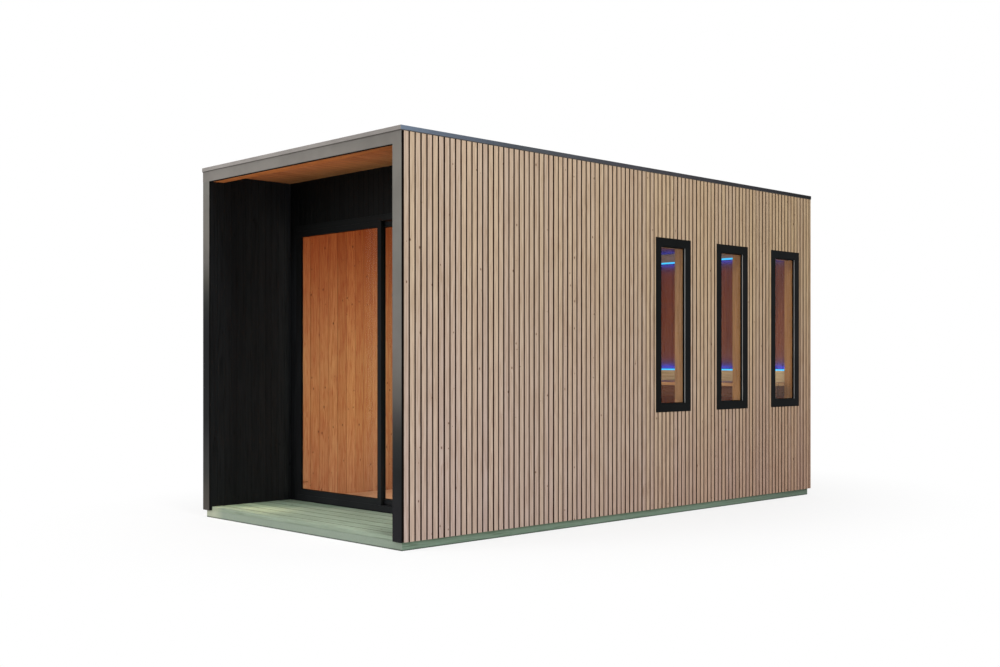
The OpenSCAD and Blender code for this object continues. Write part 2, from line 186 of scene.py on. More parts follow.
def carried(sections, starts, across, out, along, lengths, tones, offsets=0.0, flanked=True):
    """Closed bars: each outline (n, k, 2) carried straight along its bar.

    A point is start + u * across + v * out + s * along, with s from 0 to the length.
    tone is one number per bar; face is v over the bar's thickness, or 1 all round a bar
    that isn't flanked; grain is the place in the bar's own timber: across, through and
    along it, moved apart from bar to bar. offsets say how far in from its board's edge each
    outline starts, so that the grain runs on through a strip beside a hole."""
    starts = np.asarray(starts, float)
    count, sides = len(starts), sections.shape[-2]
    lengths = np.broadcast_to(np.asarray(lengths, float), (count,))
    offsets = np.broadcast_to(np.asarray(offsets, float), (count,))[:, None, None]
    u = np.broadcast_to(sections[:, None, :, 0], (count, 2, sides))
    v = np.broadcast_to(sections[:, None, :, 1], (count, 2, sides))
    s = np.broadcast_to((lengths[:, None] * [0, 1])[..., None], (count, 2, sides))
    points = (starts[:, None, None] + u[..., None] * across + v[..., None] * out
              + s[..., None] * along)
    index = np.arange(count * 2 * sides).reshape(count, 2, sides)
    ahead = np.roll(index, -1, axis=2)
    walls = np.stack([index[:, 0], ahead[:, 0], ahead[:, 1], index[:, 1]], -1)
    faces = [walls.reshape(-1, 4), index[:, 0, ::-1], index[:, 1]]
    if np.dot(np.cross(across, out), along) < 0:
        faces = [f[:, ::-1] for f in faces]
    tone = np.broadcast_to(np.asarray(tones, float)[:, None, None], (count, 2, sides))
    spot = (starts @ along)[:, None, None]
    grain = np.stack([u + offsets + GRAIN_ACROSS * tone, v, s + spot + GRAIN_ALONG * tone], -1)
    depth = sections[..., 1].max(axis=1)[:, None, None]
    face = v / depth if flanked else np.ones_like(v)
    return points.reshape(-1, 3), faces, {
        "tone": tone.ravel(), "face": face.ravel(), "grain": grain.reshape(-1, 3)}


# Strips beside a hole that are narrower than this are left out.
SLIVER = 0.004


def cut_round(starts, width, low, high, holes):
    """What is left of upright bars round rectangular holes.

    A bar covers start to start + width, from low to high; a hole is (left, right, bottom,
    top). Where a hole takes part of a bar's width, the rest runs on beside it.
    Gives rows of (bar, start, end, low, high)."""
    rows = []
    for bar, start in enumerate(starts):
        rest = [(start, start + width, low, high)]
        for left, right, bottom, top in holes:
            kept = []
            for p, q, b, t in rest:
                if q <= left or p >= right or t <= bottom or b >= top:
                    kept.append((p, q, b, t))
                    continue
                if b < bottom:
                    kept.append((p, q, b, bottom))
                if t > top:
                    kept.append((p, q, top, t))
                if left - p > SLIVER:
                    kept.append((p, left, max(b, bottom), min(t, top)))
                if q - right > SLIVER:
                    kept.append((right, q, max(b, bottom), min(t, top)))
            rest = kept
        rows += [(bar, *piece) for piece in rest]
    return np.array(rows)


def laid(low, high, across, out, side, count, section, gap=0.0, holes=(), play=0.0, sink=0.0,
         flanked=True):
    """Boards laid side by side in the block from low to high.

    across and out are axis numbers, side is the way the boards face along out. The block
    is shared between count boards with gaps between them; section(widths, thickness)
    gives their outlines, and holes are cut from them as in cut_round. play moves each board
    but the first and the last sideways, and sink moves its face inwards, at random, by no
    more than that."""
    along = 3 - across - out
    width = (high[across] - low[across] + gap) / count - gap
    nudge = rng.uniform(-play, play, count)
    nudge[[0, -1]] = 0
    first = low[across] + np.arange(count) * (width + gap)
    rows = cut_round(first + nudge, width, low[along], high[along], holes)
    bar = rows[:, 0].astype(int)
    starts = np.zeros((len(rows), 3))
    starts[:, across] = rows[:, 1]
    starts[:, along] = rows[:, 3]
    starts[:, out] = low[out] if side > 0 else high[out]
    thick = high[out] - low[out]
    outline = np.array(section(rows[:, 2] - rows[:, 1], thick), float)
    sunk = rng.uniform(0, sink, count)[bar]
    outline[..., 1] *= (1 - sunk / thick)[:, None]
    tones = rng.random(count)[bar]
    return carried(outline, starts, AXES[across], side * AXES[out], AXES[along],
                   rows[:, 4] - rows[:, 3], tones, rows[:, 1] - (first + nudge)[bar], flanked)


def bar_between(low, high, along, radius, tone, flanked=False):
    """One timber of the block's size, its four long edges rounded."""
    across, out = [a for a in (X, Y, Z) if a != along]
    outline = rounded([high[across] - low[across]], high[out] - low[out], radius)
    return carried(outline, [low], AXES[across], AXES[out], AXES[along],
                   [high[along] - low[along]], [tone], flanked=flanked)


def bars(blocks, along, radius, flanked=False):
    """Several timbers of one direction as one shape, each with a tone of its own."""
    return joined(*[bar_between(*b, along, radius, rng.random(), flanked) for b in blocks])


def framed(profile, low, high, out):
    """A closed outline carried round a rectangle, with mitred corners.

    A profile point (d, v) lies d inwards from the rectangle from low to high, and at v
    along the axis out."""
    a, b = [k for k in (X, Y, Z) if k != out]
    d, v = np.asarray(profile, float).T
    corner = np.array([[-1, -1], [1, -1], [1, 1], [-1, 1]])
    points = np.zeros((4, len(d), 3))
    for axis, way in ((a, corner[:, :1]), (b, corner[:, 1:])):
        points[..., axis] = (low[axis] + high[axis]) / 2 + way * ((high[axis] - low[axis]) / 2 - d)
    points[..., out] = v
    index = np.arange(4 * len(d)).reshape(4, -1)
    turn, ahead = np.roll(index, -1, axis=0), np.roll(index, -1, axis=1)
    faces = [np.stack([index, turn, np.roll(turn, -1, axis=1), ahead], -1).reshape(-1, 4)]
    points = points.reshape(-1, 3)
    count = len(points)
    return points, outward(points, faces), {
        "tone": np.full(count, 0.5), "face": np.ones(count), "grain": points.copy()}


# ---------------------------------------------------------------- shader groups

def set_inputs(tree, node, **inputs):
    """Sets a node's inputs by name, or by number as _0 and _1. A value that is another
    node's output gets linked."""
    for key, value in inputs.items():
        socket = node.inputs[int(key[1:]) if key[1:].isdigit() else key.replace("_", " ")]
        if isinstance(value, bpy.types.NodeSocket):
            tree.links.new(value, socket)
        else:
            socket.default_value = value
    return node


def add(tree, kind, settings=None, **inputs):
    """A new node with its settings and its inputs."""
    node = tree.nodes.new(kind)
    for key, value in (settings or {}).items():
        setattr(node, key, value)
    return set_inputs(tree, node, **inputs)


def use(tree, group, **inputs):
    """One use of a shader group; gives its outputs by name."""
    return add(tree, "ShaderNodeGroup", {"node_tree": group}, **inputs).outputs


def maths(tree, operation, first, second=0.0, third=0.0, clamp=False):
    """One operation on numbers, its result kept between 0 and 1 if clamp is set."""
    return add(tree, "ShaderNodeMath", {"operation": operation, "use_clamp": clamp},
               _0=first, _1=second, _2=third).outputs[0]


def vectors(tree, operation, first, second=(0, 0, 0)):
    """One operation on vectors; a length or a dot product is a number."""
    node = add(tree, "ShaderNodeVectorMath", {"operation": operation}, _0=first, _1=second)
    return node.outputs["Value" if operation in ("LENGTH", "DOT_PRODUCT") else "Vector"]


def parts_of(tree, vector):
    """The three numbers of a vector."""
    return add(tree, "ShaderNodeSeparateXYZ", Vector=vector).outputs


def noise(tree, vector, scale=1.0, detail=2.0, roughness=0.5):
    """Smooth noise of 0 to 1, with about scale cells in each unit of the vector."""
    return add(tree, "ShaderNodeTexNoise", Vector=vector, Scale=scale, Detail=detail,
               Roughness=roughness).outputs["Fac"]


def ramp_between(tree, value, low, high, to_low=0.0, to_high=1.0):
    """The value's share of the way from low to high, eased at both ends."""
    return add(tree, "ShaderNodeMapRange", {"interpolation_type": "SMOOTHSTEP"}, Value=value,
               From_Min=low, From_Max=high, To_Min=to_low, To_Max=to_high).outputs[0]


def blended(tree, share, first, second, kind="MIX"):
    """Two colours mixed by a share; each is a socket or a linear colour."""
    return add(tree, "ShaderNodeMix", {"data_type": "RGBA", "blend_type": kind},
               _0=share, _6=first, _7=second).outputs[2]


def bump(tree, height, strength, distance):
    """A normal that a height of 0 to 1 has bent; distance is the height's full depth."""
    return add(tree, "ShaderNodeBump", Height=height, Strength=strength,
               Distance=distance).outputs[0]


def new_group(name, inputs, outputs):
    """An empty shader group; inputs are (name, kind, default), outputs (name, kind)."""
    tree = bpy.data.node_groups.new(name, "ShaderNodeTree")
    for label, kind, value in inputs:
        socket = tree.interface.new_socket(label, in_out="INPUT", socket_type="NodeSocket" + kind)
        if value is not None:
            socket.default_value = value
    for label, kind in outputs:
        tree.interface.new_socket(label, in_out="OUTPUT", socket_type="NodeSocket" + kind)
    return tree, tree.nodes.new("NodeGroupInput").outputs, tree.nodes.new("NodeGroupOutput")


def timber_group():
    """Grain, streaks and knots of a sawn board whose length runs along the third axis.

    Grain is fine noise and streaks are broader noise, both stretched some thirty to forty
    times along the board. A fleck is a short dark line where a third noise is high.
    Streaks and flecks are as fine as asked. A knot is an oval about the nearest of
    scattered points, and the grain bends round it."""
    tree, given, result = new_group(
        "sawn timber", [("Vector", "Vector", None), ("Knots", "Float", 0.4),
                        ("Knot Size", "Float", 0.006), ("Fineness", "Float", 1.0)],
        [("Grain", "Float"), ("Streak", "Float"), ("Fleck", "Float"), ("Knot", "Float"),
         ("Height", "Float")])
    vector = given["Vector"]
    cells_across, cells_along, roundness = 14.0, 4.0, 0.62
    cells = vectors(tree, "MULTIPLY", vector, (cells_across, 0.0, cells_along))
    scatter = add(tree, "ShaderNodeTexVoronoi", {"voronoi_dimensions": "3D"},
                  Vector=cells, Scale=1.0, Randomness=0.9)
    off = vectors(tree, "SUBTRACT", cells, scatter.outputs["Position"])
    off = vectors(tree, "MULTIPLY", off, (1 / cells_across, 0.0, roundness / cells_along))
    # Each point's own chance picks the knots and gives them 0.4 to 1.5 times the knot size.
    chance = add(tree, "ShaderNodeSeparateColor", Color=scatter.outputs["Color"]).outputs
    chosen = maths(tree, "LESS_THAN", chance[0], given["Knots"])
    size = maths(tree, "MULTIPLY", given["Knot Size"],
                 maths(tree, "MULTIPLY_ADD", chance[1], 1.1, 0.4))
    near = maths(tree, "DIVIDE", vectors(tree, "LENGTH", off), size)
    knot = maths(tree, "MULTIPLY", ramp_between(tree, near, 1.25, 0.75), chosen)
    # The grain is pushed aside within five sizes of a knot, and wanders by up to 20 mm.
    halo = maths(tree, "MULTIPLY", ramp_between(tree, near, 5.0, 0.8), chosen)
    push = maths(tree, "MULTIPLY", maths(tree, "MULTIPLY", halo, size), 1.6)
    slow = vectors(tree, "MULTIPLY", vector, (5, 5, 1.1))
    wander = maths(tree, "MULTIPLY", noise(tree, slow), 0.02)
    bent = vector
    for shift in (push, wander):
        aside = add(tree, "ShaderNodeCombineXYZ", X=shift).outputs[0]
        bent = vectors(tree, "ADD", bent, aside)
    finer = add(tree, "ShaderNodeVectorMath", {"operation": "SCALE"}, _0=bent,
                Scale=given["Fineness"]).outputs[0]
    # Cells for each metre across, through and along the board.
    grain = noise(tree, vectors(tree, "MULTIPLY", bent, (330, 330, 8)), detail=3.0, roughness=0.6)
    streak = noise(tree, vectors(tree, "MULTIPLY", finer, (62, 62, 2.2)), roughness=0.55)
    fleck = noise(tree, vectors(tree, "MULTIPLY", finer, (105, 105, 4.5)), detail=1.0)
    height = maths(tree, "SUBTRACT", maths(tree, "MULTIPLY_ADD", streak, 0.6, grain),
                   maths(tree, "MULTIPLY", knot, 0.5))
    set_inputs(tree, result, Grain=ramp_between(tree, grain, 0.3, 0.7),
               Streak=ramp_between(tree, streak, 0.35, 0.68),
               Fleck=ramp_between(tree, fleck, 0.57, 0.69), Knot=knot, Height=height)
    return tree


def board_group():
    """A board's colour: two timbers mixed by its own tone, darkened along grain and
    streaks, with flecks and knots, and with its flanks and joints in a colour of their own.

    The dark colour's share is the contrast times 0.65 streak + 0.35 grain. A flank is
    where face, which grows from the board's back to its front, is under the flank edge."""
    tree, given, result = new_group(
        "board colour",
        [("Light", "Color", None), ("Other", "Color", None), ("Dark", "Color", None),
         ("Knot Colour", "Color", None), ("Flank", "Color", None), ("Tone", "Float", 0.5),
         ("Face", "Float", 1.0), ("Grain", "Float", 0.5), ("Streak", "Float", 0.5),
         ("Fleck", "Float", 0.0), ("Knot", "Float", 0.0), ("Contrast", "Float", 0.5),
         ("Flank Edge", "Float", 0.9)],
        [("Color", "Color")])
    board = blended(tree, given["Tone"], given["Light"], given["Other"])
    marks = maths(tree, "MULTIPLY_ADD", given["Streak"], 0.65,
                  maths(tree, "MULTIPLY", given["Grain"], 0.35))
    marks = maths(tree, "MULTIPLY", marks, given["Contrast"], clamp=True)
    board = blended(tree, marks, board, given["Dark"])
    board = blended(tree, maths(tree, "MULTIPLY", given["Fleck"], 0.75), board, given["Dark"])
    knot = maths(tree, "MULTIPLY", given["Knot"], 0.8)
    board = blended(tree, knot, board, given["Knot Colour"])
    under = maths(tree, "SUBTRACT", given["Flank Edge"], given["Face"])
    flank = ramp_between(tree, under, -0.01, 0.02)
    set_inputs(tree, result, Color=blended(tree, flank, board, given["Flank"]))
    return tree


def fade_group():
    """How far a point lies between two distances along a direction, with a ragged edge.

    The mask is (vector . direction + ragged * noise - start) / (end - start), kept between
    0 and 1; the noise runs from -0.5 to 0.5."""
    tree, given, result = new_group(
        "fade", [("Vector", "Vector", None), ("Direction", "Vector", None),
                 ("Start", "Float", 0.0), ("End", "Float", 1.0), ("Ragged", "Float", 0.0)],
        [("Mask", "Float")])
    distance = vectors(tree, "DOT_PRODUCT", given["Vector"], given["Direction"])
    patch = noise(tree, given["Vector"], scale=7.0, detail=4.0, roughness=0.6)
    patch = maths(tree, "SUBTRACT", patch, 0.5)
    distance = maths(tree, "MULTIPLY_ADD", patch, given["Ragged"], distance)
    past = maths(tree, "SUBTRACT", distance, given["Start"])
    whole = maths(tree, "SUBTRACT", given["End"], given["Start"])
    set_inputs(tree, result, Mask=maths(tree, "DIVIDE", past, whole, clamp=True))
    return tree


def coat_group():
    """A baked powder coat: the height of its fine orange peel, and slow cloudy patches."""
    tree, given, result = new_group(
        "powder coat", [("Vector", "Vector", None)], [("Height", "Float"), ("Cloud", "Float")])
    peel = noise(tree, given["Vector"], scale=900.0)
    patches = noise(tree, given["Vector"], scale=3.5, detail=3.0)
    cloud = ramp_between(tree, patches, 0.3, 0.7)
    set_inputs(tree, result, Height=peel, Cloud=cloud)
    return tree


TIMBER_MARKS = timber_group()
BOARD_COLOUR = board_group()
FADE = fade_group()
COAT = coat_group()


# ---------------------------------------------------------------- colours by place

def colour(r, g, b):
    """An sRGB colour of 0 to 255 as the linear one that a shader takes.

    A share c is c / 12.92 up to 0.04045, and ((c + 0.055) / 1.055) ** 2.4 above it."""
    c = np.array([r, g, b]) / 255
    linear = np.where(c <= 0.04045, c / 12.92, ((c + 0.055) / 1.055) ** 2.4)
    return (*linear.tolist(), 1.0)


def own_place(tree):
    """The place on the piece: its Object coordinates, in metres."""
    return add(tree, "ShaderNodeTexCoord").outputs["Object"]


def own_value(tree, name, output="Fac"):
    """One of the piece's own values per point."""
    return add(tree, "ShaderNodeAttribute", {"attribute_name": name}).outputs[output]


def surface_normal(tree):
    """The way that the surface faces."""
    return add(tree, "ShaderNodeNewGeometry").outputs["Normal"]


def facing_front(tree):
    """1 where a surface faces the porch side, 0 where it faces away or sideways."""
    facing = vectors(tree, "DOT_PRODUCT", surface_normal(tree), (0, -1, 0))
    return ramp_between(tree, facing, 0.3, 0.7)


def stops(tree, value, table):
    """A colour by place: table is rows of (place, sRGB colour), with straight mixes between."""
    first, last = table[0][0], table[-1][0]
    share = maths(tree, "DIVIDE", maths(tree, "SUBTRACT", value, first), last - first, clamp=True)
    node = add(tree, "ShaderNodeValToRGB", Fac=share)
    band = node.color_ramp
    while len(band.elements) < len(table):
        band.elements.new(0.5)
    for element, (place, rgb) in zip(band.elements, table):
        element.position = (place - first) / (last - first)
        element.color = colour(*rgb)
    return node.outputs[0]


def tinted(tree, board, place, direction, start, end, tint, ragged=0.0):
    """The colour times a tint: none of it at start, and all of it at end, two distances
    along the direction."""
    mask = use(tree, FADE, Vector=place, Direction=direction, Start=start, End=end,
               Ragged=ragged)["Mask"]
    return blended(tree, mask, board, (*tint, 1.0), "MULTIPLY")


def tints(*rows):
    """A shade made of several tints, one after the other."""
    def shade(tree, board, place):
        for row in rows:
            board = tinted(tree, board, place, *row)
        return board
    return shade


# Battens: painted shade, deeper and yellower to the rear; bluer to the foot, and duller and
# pinker at the rear's foot.
batten_painted_shade = tints((REARWARDS, -1.6, 2.2, (0.97, 0.92, 0.78)),
                  (DOWNWARDS, -1.8, -0.1, (0.99, 1.0, 1.15), 0.3),
                  ((0, 0.5, -1), -0.6, 0.9, (0.88, 0.79, 0.80), 0.2))
# Room boards: painted shade, deeper and redder towards the ceiling and darker away from the door;
# redder to the rear wall, and less orange close to the floor.
room_painted_shade = tints((UPWARDS, 1.1, 2.15, (0.88, 0.50, 0.36), 0.1),
                   (REARWARDS, -1.3, -0.4, (0.54, 0.57, 0.58)),
                   (REARWARDS, 0.3, 2.0, (1.34, 0.77, 0.54)),
                   (DOWNWARDS, -0.75, -0.15, (1.07, 1.10, 1.38)))
# Light rails: painted light, the upper one darker and bluer than the one behind the bench.
rail_painted_light = tints((UPWARDS, 1.2, 1.9, (0.40, 0.42, 0.80)))
# Window reveals: painted light, paler from the first window to the last.
reveal_painted_light = tints((REARWARDS, 0.5, 1.9, (1.62, 1.40, 1.06)))
# Soffit boards: painted shade, duller and greener towards the door.
soffit_painted_shade = tints((REARWARDS, -1.85, -1.5, (0.72, 0.95, 0.92)))
# A painted sun patch lightens the porch floor's front left corner.
painted_sun_patch = tints(((-1, -0.6, 0), 2.19, 2.30, (1.6, 1.42, 1.34)))
# Deck planks: a painted shadow, darker and greener, in the left corner by the door.
painted_corner_shadow = tints(((-0.95, 1, 0), -1.28, -1.18, (0.70, 0.77, 0.76), 0.05))


def room_painted_blue_glow(tree, board, place):
    """Room boards with a painted glow: less red and green within 13 cm of the rear wall's blue
    strips.
    """
    board = room_painted_shade(tree, board, place)
    parts = parts_of(tree, place)
    nearest = 1.0
    for level in (lower_top, upper_low, rail_high[Z]):
        off = maths(tree, "ABSOLUTE", maths(tree, "SUBTRACT", parts[Z], level))
        nearest = maths(tree, "MINIMUM", off, nearest)
    glow_share = maths(tree, "MULTIPLY", ramp_between(tree, nearest, 0.13, 0.0),
                   ramp_between(tree, parts[Y], 2.02, 2.09))
    return blended(tree, glow_share, board, (0.25, 0.5, 1.6, 1.0), "MULTIPLY")


def stained_and_painted_light(tree, board, place):
    """Porch boards: painted light, paler towards the back of the side walls; painted shade over
    the door.
    """
    side = tinted(tree, board, place, REARWARDS, -1.9, -1.5, (2.0, 2.0, 2.0))
    wall = tinted(tree, board, place, UPWARDS, 1.7, 2.1, (0.28, 0.28, 0.24))
    return blended(tree, facing_front(tree), side, wall)


def deck_painted_light(tree, board, place):
    """Deck planks: the painted shadow and the painted sun patch, and painted shade on their front
    edge.
    """
    board = painted_sun_patch(tree, painted_corner_shadow(tree, board, place), place)
    return blended(tree, facing_front(tree), board, (0.89, 0.87, 0.86, 1.0), "MULTIPLY")


def base_painted_shade(tree, board, place):
    """The base frame, with painted light and shade: painted greyer in front, lit by the painted
    sun patch at the left corner and darker to the rear, with a painted shadow of the battens along
    the top of its sides and a painted dark line at the ground."""
    front = facing_front(tree)
    board = blended(tree, front, board, blended(tree, 0.75, board, colour(130, 138, 126)))
    board = painted_sun_patch(tree, board, place)
    board = tinted(tree, board, place, REARWARDS, 0.8, 2.4, (0.62, 0.62, 0.62), 0.2)
    # A painted shadow of the battens' overhang, along the top of the sides only.
    upper = use(tree, FADE, Vector=place, Direction=UPWARDS, Start=0.034, End=0.046)["Mask"]
    side = maths(tree, "MULTIPLY", upper, maths(tree, "SUBTRACT", 1.0, front))
    board = blended(tree, side, board, (0.56, 0.60, 0.52, 1.0), "MULTIPLY")
    return tinted(tree, board, place, DOWNWARDS, -0.010, -0.004, (0.25, 0.25, 0.25), 0.004)


# ---------------------------------------------------------------- timber

def new_material(name):
    """A material with only its output and a Principled shader; returns material, tree, shader."""
    material = bpy.data.materials.new(name)
    material.use_nodes = True
    tree = material.node_tree
    return material, tree, tree.nodes["Principled BSDF"]


def timber(name, light, other, dark, knot, flank, contrast=0.5, knots=0.3, knot_size=0.006,
           roughness=0.6, gloss=0.5, flank_edge=0.9, along=None, shade=None, fineness=1.0):
    """Sawn boards, in five sRGB colours: light and other for the two timbers, dark for
    their grain, knot for knots and flank for their sides.

    With along=None the boards carry their own grain; otherwise it runs along that axis.
    shade(tree, colour, place) may paint light and shade on the colour over the building."""
    material, tree, shader = new_material(name)
    place = own_place(tree)
    if along is None:
        vector = own_value(tree, "grain", "Vector")
        tone = own_value(tree, "tone")
        face = own_value(tree, "face")
    else:
        parts = parts_of(tree, place)
        a, b = [k for k in (X, Y, Z) if k != along]
        vector = add(tree, "ShaderNodeCombineXYZ", X=parts[a], Y=parts[b],
                     Z=parts[along]).outputs[0]
        tone, face = 0.5, 1.0
    marks = use(tree, TIMBER_MARKS, Vector=vector, Knots=knots, Knot_Size=knot_size,
                Fineness=fineness)
    board = use(tree, BOARD_COLOUR, Light=colour(*light), Other=colour(*other),
                Dark=colour(*dark), Knot_Colour=colour(*knot), Flank=colour(*flank), Tone=tone,
                Face=face, Grain=marks["Grain"], Streak=marks["Streak"], Fleck=marks["Fleck"],
                Knot=marks["Knot"], Contrast=contrast, Flank_Edge=flank_edge)["Color"]
    if shade:
        board = shade(tree, board, place)
    rough = maths(tree, "MULTIPLY_ADD", marks["Grain"], 0.12, roughness - 0.06)
    set_inputs(tree, shader, Base_Color=board, Roughness=rough, Specular_IOR_Level=gloss,
               Normal=bump(tree, marks["Height"], strength=0.5, distance=0.0004))
    return material


# The battens' dark flank colour is painted shade in the grooves between them.
PALE = timber("pale planed battens", (215, 192, 163), (206, 185, 166), (178, 151, 127),
              (96, 62, 42), (42, 17, 4), contrast=0.8, knots=0.26, knot_size=0.0037,
              roughness=0.62, gloss=0.04, flank_edge=0.985, shade=batten_painted_shade, fineness=1.7)
BLACK = timber("black stained boards", (28, 30, 32), (22, 23, 25), (14, 15, 16), (11, 11, 11),
               (4, 4, 4), contrast=0.6, knots=0.1, roughness=0.5, gloss=0.08,
               flank_edge=0.93, shade=stained_and_painted_light)
PINE = timber("warm knotty boards", (180, 136, 90), (165, 120, 77), (136, 66, 35),
              (76, 38, 22), (126, 70, 38), contrast=0.72, knots=0.65, knot_size=0.0042,
              roughness=0.48, gloss=0.3, flank_edge=0.93, shade=room_painted_blue_glow, fineness=2.1)
ASPEN = timber("light bench timber", (206, 164, 120), (196, 150, 106), (160, 112, 72),
               (90, 52, 28), (104, 64, 36), contrast=0.8, knots=0.15, roughness=0.5, gloss=0.3)
RAIL_BOARD = timber("pale rail boards", (238, 216, 172), (228, 202, 156), (192, 160, 116),
                    (96, 60, 34), (120, 84, 54), contrast=0.7, knots=0.15, knot_size=0.005,
                    roughness=0.5, gloss=0.2, shade=rail_painted_light)
# The bench frame's dark colour is painted shade under the seat.
BENCH_FRAME = timber("shaded bench frame", (112, 72, 54), (104, 64, 46), (76, 44, 30),
                     (44, 24, 14), (44, 24, 14), contrast=0.6, along=X, gloss=0.1)
REVEAL_BOARD = timber("reveal boards", (146, 110, 78), (138, 104, 70), (112, 80, 52),
                      (70, 44, 24), (80, 50, 30), contrast=0.8, knots=0.1, roughness=0.5,
                      gloss=0.1, shade=reveal_painted_light)
# The soffit boards' colours are painted paler, standing in for light bounced up from the deck.
SOFFIT = timber("amber soffit boards", (202, 132, 86), (189, 117, 72), (147, 80, 45),
                (110, 62, 32), (64, 34, 18), contrast=0.9, knots=0.15, knot_size=0.004,
                roughness=0.5, gloss=0.15, flank_edge=0.93, shade=soffit_painted_shade)
FRONT_BEAM = timber("amber front beam", (204, 128, 72), (192, 114, 62), (150, 78, 38),
                    (110, 62, 32), (64, 34, 18), contrast=0.8, knots=0.1, knot_size=0.004,
                    roughness=0.5, gloss=0.15)
PALE_FLOOR = timber("pale floor boards", (200, 162, 132), (188, 147, 116), (164, 121, 90),
                    (96, 60, 36), (90, 58, 36), knots=0.2, roughness=0.5)
PINE_BEAM = timber("warm beams", (176, 116, 72), (162, 100, 58), (138, 78, 42), (66, 32, 16),
                   (66, 33, 18), contrast=0.6, along=X, roughness=0.5)
GREEN = timber("green treated planks", (156, 172, 154), (146, 162, 144), (122, 136, 118),
               (92, 92, 70), (88, 94, 80), contrast=0.6, knots=0.12, roughness=0.75,
               gloss=0.2, flank_edge=0.99, shade=deck_painted_light)
BEARER = timber("green treated bearers", (139, 164, 143), (139, 164, 143), (104, 128, 104),
                (80, 84, 62), (60, 66, 52), contrast=0.35, knots=0.1, along=Y,
                roughness=0.75, shade=base_painted_shade)


# ---------------------------------------------------------------- metal, felt, glass and light

def coated(name, paint, roughness, gloss=0.15, metallic=0.0):
    """Powder-coated sheet: fine peel and cloudy sheen. Its paint is an sRGB colour, or a
    function of tree and place that gives a colour."""
    material, tree, shader = new_material(name)
    place = own_place(tree)
    coat = use(tree, COAT, Vector=place)
    base = paint(tree, place) if callable(paint) else colour(*paint)
    cloudy = maths(tree, "MULTIPLY", coat["Cloud"], 0.16)
    set_inputs(tree, shader, Base_Color=blended(tree, cloudy, base, (0, 0, 0, 1)),
               Roughness=maths(tree, "MULTIPLY_ADD", coat["Cloud"], 0.1, roughness),
               Normal=bump(tree, coat["Height"], strength=0.12, distance=0.0002),
               Metallic=metallic, Specular_IOR_Level=gloss)
    return material


def painted_reflection_by_height(*table):
    """A painted reflection: the front face follows the table by height; the flanks are painted
    near-black shade.
    """
    def paint(tree, place):
        front = stops(tree, parts_of(tree, place)[Z], table)
        return blended(tree, facing_front(tree), colour(14, 13, 12), front)
    return paint


def trim_painted_reflection(tree, place):
    """Warm grey in front; along the sides a painted blue-grey reflection, fading to near-black
    painted shade.
    """
    side = stops(tree, parts_of(tree, place)[Y], [
        (-2.18, (120, 134, 153)), (-2.0, (108, 119, 134)), (-1.6, (91, 99, 111)),
        (-1.2, (85, 89, 95)), (-0.2, (76, 76, 82)), (0.6, (67, 67, 71)), (1.4, (57, 57, 61)),
        (2.2, (38, 38, 39))])
    sideways = maths(tree, "ABSOLUTE", parts_of(tree, surface_normal(tree))[X])
    return blended(tree, ramp_between(tree, sideways, 0.4, 0.7), colour(140, 135, 131), side)


def jamb_painted_highlight(tree, place):
    """Near black, with a narrow painted highlight on the jambs that face the porch.

    It starts 3 mm off the pane and off the frame's face, and fades in over 3 mm more."""
    pane, face = reach(PANES[0], X)[1], reach(WINDOWS[0], X)[1]
    deep = parts_of(tree, place)[X]
    edge = maths(tree, "MULTIPLY", ramp_between(tree, deep, pane + 0.003, pane + 0.006),
                 ramp_between(tree, deep, face - 0.003, face - 0.006))
    return blended(tree, maths(tree, "MULTIPLY", edge, facing_front(tree)),
                   colour(16, 18, 19), colour(176, 176, 176))


def door_painted_shade(tree, place):
    """Near black, with painted shade: a little greyer towards the sill, darker towards the head.
    """
    return stops(tree, parts_of(tree, place)[Z], [
        (0.1, (35, 36, 38)), (1.2, (30, 31, 32)), (1.8, (20, 21, 21)), (2.1, (16, 17, 17))])


# Painted reflections: each post's front and the fascia's front follow their own table by height.
LEFT_POST = coated("grey coat, left post", painted_reflection_by_height(
    (0.05, (80, 75, 71)), (0.2, (69, 66, 62)), (0.35, (54, 54, 53)), (0.6, (38, 38, 39)),
    (0.7, (27, 27, 28)), (1.3, (25, 26, 28)), (1.4, (28, 29, 31)), (1.5, (37, 38, 38)),
    (1.6, (54, 54, 52)), (1.7, (77, 75, 70)), (1.8, (92, 89, 86)), (2.0, (105, 101, 96)),
    (2.35, (111, 109, 104))), roughness=0.42, gloss=0.03)
RIGHT_POST = coated("grey coat, right post", painted_reflection_by_height(
    (0.05, (32, 31, 34)), (0.45, (34, 35, 36)), (0.6, (45, 46, 46)), (0.7, (54, 53, 51)),
    (0.8, (74, 71, 70)), (0.9, (94, 91, 87)), (1.0, (103, 99, 94)), (1.2, (110, 106, 102)),
    (1.7, (117, 115, 110)), (2.35, (118, 114, 108))), roughness=0.42, gloss=0.03)
METAL = coated("grey coat", painted_reflection_by_height((2.3, (118, 114, 109)), (2.5, (119, 115, 110))),
               roughness=0.42, gloss=0.03)
EDGE = coated("grey board edge", (84, 80, 76), roughness=0.6)
TRIM = coated("grey coat, roof edge", trim_painted_reflection, roughness=0.42, gloss=0.03)
FRAME = coated("near-black coat", door_painted_shade, roughness=0.38, gloss=0.06)
WINDOW_FRAME = coated("near-black coat, windows", jamb_painted_highlight, roughness=0.38, gloss=0.03)
HANDLE = coated("satin steel", (150, 150, 148), roughness=0.28, gloss=0.5, metallic=0.9)
RUBBER = coated("black gasket", (10, 10, 11), roughness=0.7, gloss=0.1)
PANEL = coated("dark wall membrane", (17, 11, 8), roughness=0.85, gloss=0.0)


